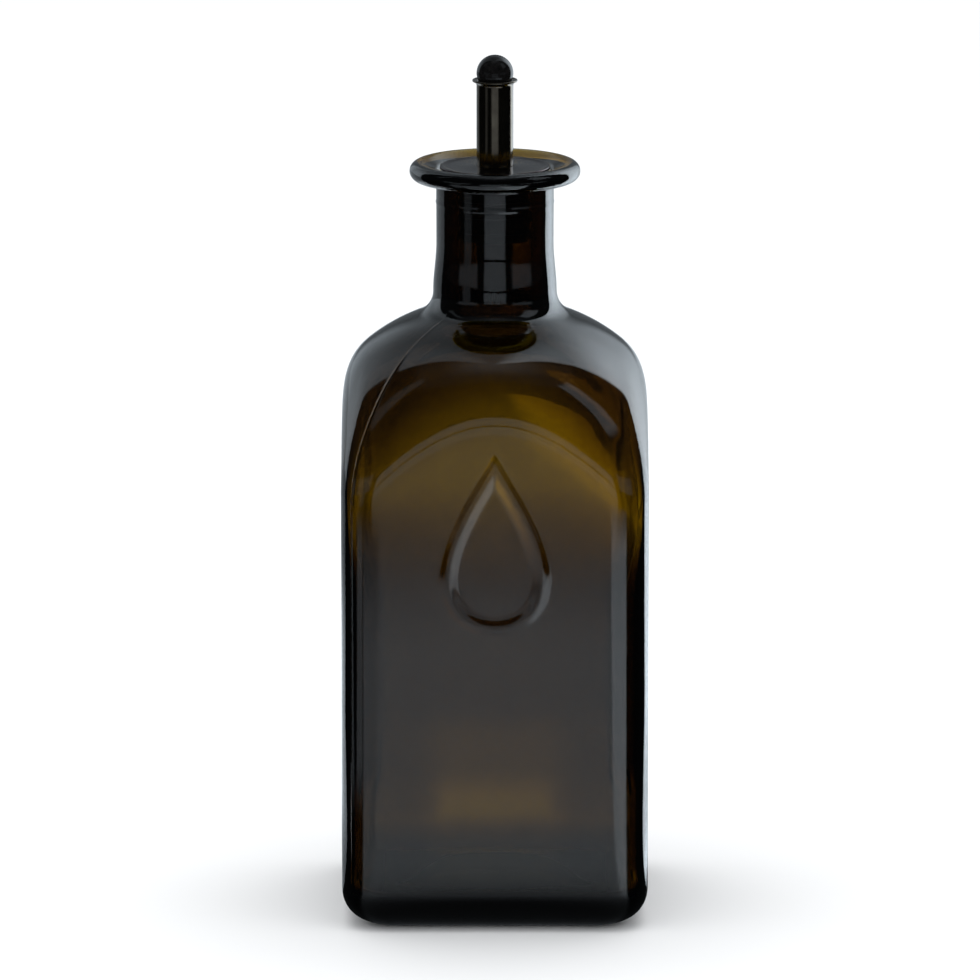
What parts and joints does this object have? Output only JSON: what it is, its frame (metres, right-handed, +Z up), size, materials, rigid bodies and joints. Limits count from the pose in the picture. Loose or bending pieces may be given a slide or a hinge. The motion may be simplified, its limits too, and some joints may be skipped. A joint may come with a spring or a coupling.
{
  "type": "oil bottle",
  "caption": "Square glass oil bottle with a rolled lip and a push-in pourer whose captive ball closes the pour tube by gravity.",
  "frame": {"origin": "centre of the base, on the surface that the bottle stands on", "axes": "+Z up along the bottle's axis, -Y towards the front face with the drop relief, +X to the right seen from the front"},
  "size_m": [0.075, 0.0755, 0.2114],
  "materials": {
    "olive_glass": "glossy dark olive-brown bottle glass",
    "gunmetal": "dark gunmetal coating over fine brushing, satin gloss",
    "black_rubber": "matt soft rubber",
    "plain_steel": "plain drawn steel",
    "black_coated_steel": "black satin coating"
  },
  "bodies": {
    "bottle": {"glass_bottle": "olive_glass"},
    "pourer": {"stopper_disc": "gunmetal", "stopper_plug": "black_rubber", "pour_tube": "gunmetal", "vent_tube": "plain_steel", "guide_spider": "plain_steel"},
    "ball_valve": {"ball": "black_coated_steel", "ball_stem": "plain_steel", "ball_seal": "black_rubber", "stem_clip": "plain_steel"}
  },
  "joints": [
    {"name": "pourer_lift", "type": "slide", "parent": "bottle", "child": "pourer", "axis": [0, 0, 1], "range_m": [0, 0.045]},
    {"name": "ball_lift", "type": "slide", "parent": "pourer", "child": "ball_valve", "axis": [0, 0, 1], "range_m": [0, 0.006]}
  ]
}
